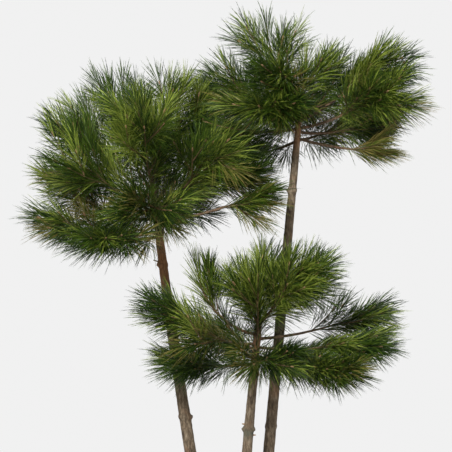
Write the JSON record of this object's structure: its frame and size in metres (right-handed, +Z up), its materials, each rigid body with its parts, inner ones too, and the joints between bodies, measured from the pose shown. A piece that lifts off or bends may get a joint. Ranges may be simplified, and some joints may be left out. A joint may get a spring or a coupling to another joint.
{
  "type": "potted stone pine clump",
  "caption": "Potted stone pine: slender bare stems rise from one root in a plain round pot, each with a loose crown of long soft needles.",
  "frame": {"origin": "middle of the pot's flat underside", "axes": "+Z up; the front of the plant faces -Y; +X to the right seen from the front"},
  "size_m": [1.5015, 1.0208, 2.7441],
  "materials": {
    "bark": "rough matte bark",
    "needles": "soft needles with a slight sheen",
    "pot": "unglazed terracotta, matte",
    "soil": "loose potting soil with bark chips, matte"
  },
  "bodies": {
    "root": {"bough_left_east": "bark", "bough_left_east_low": "bark", "bough_middle_east": "bark", "bough_middle_east_low": "bark", "bough_middle_front_east": "bark", "bough_middle_west_low": "bark", "bough_middle_west_upper": "bark", "bough_right_east": "bark", "bough_right_east_high": "bark", "bough_right_east_low": "bark", "bough_right_far_east": "bark", "foliage_left_back_east": "needles", "foliage_left_back_high": "needles", "foliage_left_east": "needles", "foliage_left_east_high": "needles", "foliage_left_east_low": "needles", "foliage_left_east_upper": "needles", "foliage_left_front": "needles", "foliage_left_front_high": "needles", "foliage_left_front_west": "needles", "foliage_left_north_high": "needles", "foliage_left_north_west": "needles", "foliage_left_top": "needles", "foliage_left_west": "needles", "foliage_left_west_high": "needles", "foliage_left_west_low": "needles", "foliage_middle_back": "needles", "foliage_middle_back_east": "needles", "foliage_middle_east": "needles", "foliage_middle_east_high": "needles", "foliage_middle_east_low": "needles", "foliage_middle_front": "needles", "foliage_middle_front_east": "needles", "foliage_middle_front_high": "needles", "foliage_middle_front_west": "needles", "foliage_middle_top": "needles", "foliage_middle_west": "needles", "foliage_middle_west_low": "needles", "foliage_middle_west_upper": "needles", "foliage_right_back": "needles", "foliage_right_back_east": "needles", "foliage_right_back_low": "needles", "foliage_right_east": "needles", "foliage_right_east_high": "needles", "foliage_right_east_low": "needles", "foliage_right_east_upper": "needles", "foliage_right_far_east": "needles", "foliage_right_front_high": "needles", "foliage_right_front_west": "needles", "foliage_right_top": "needles", "foliage_right_top_east": "needles", "foliage_right_top_west": "needles", "foliage_right_west": "needles", "foliage_right_west_high": "needles", "foliage_right_west_low": "needles", "pot": "pot", "soil": "soil", "trunk_left": "bark", "trunk_middle": "bark", "trunk_right": "bark"}
  },
  "joints": []
}
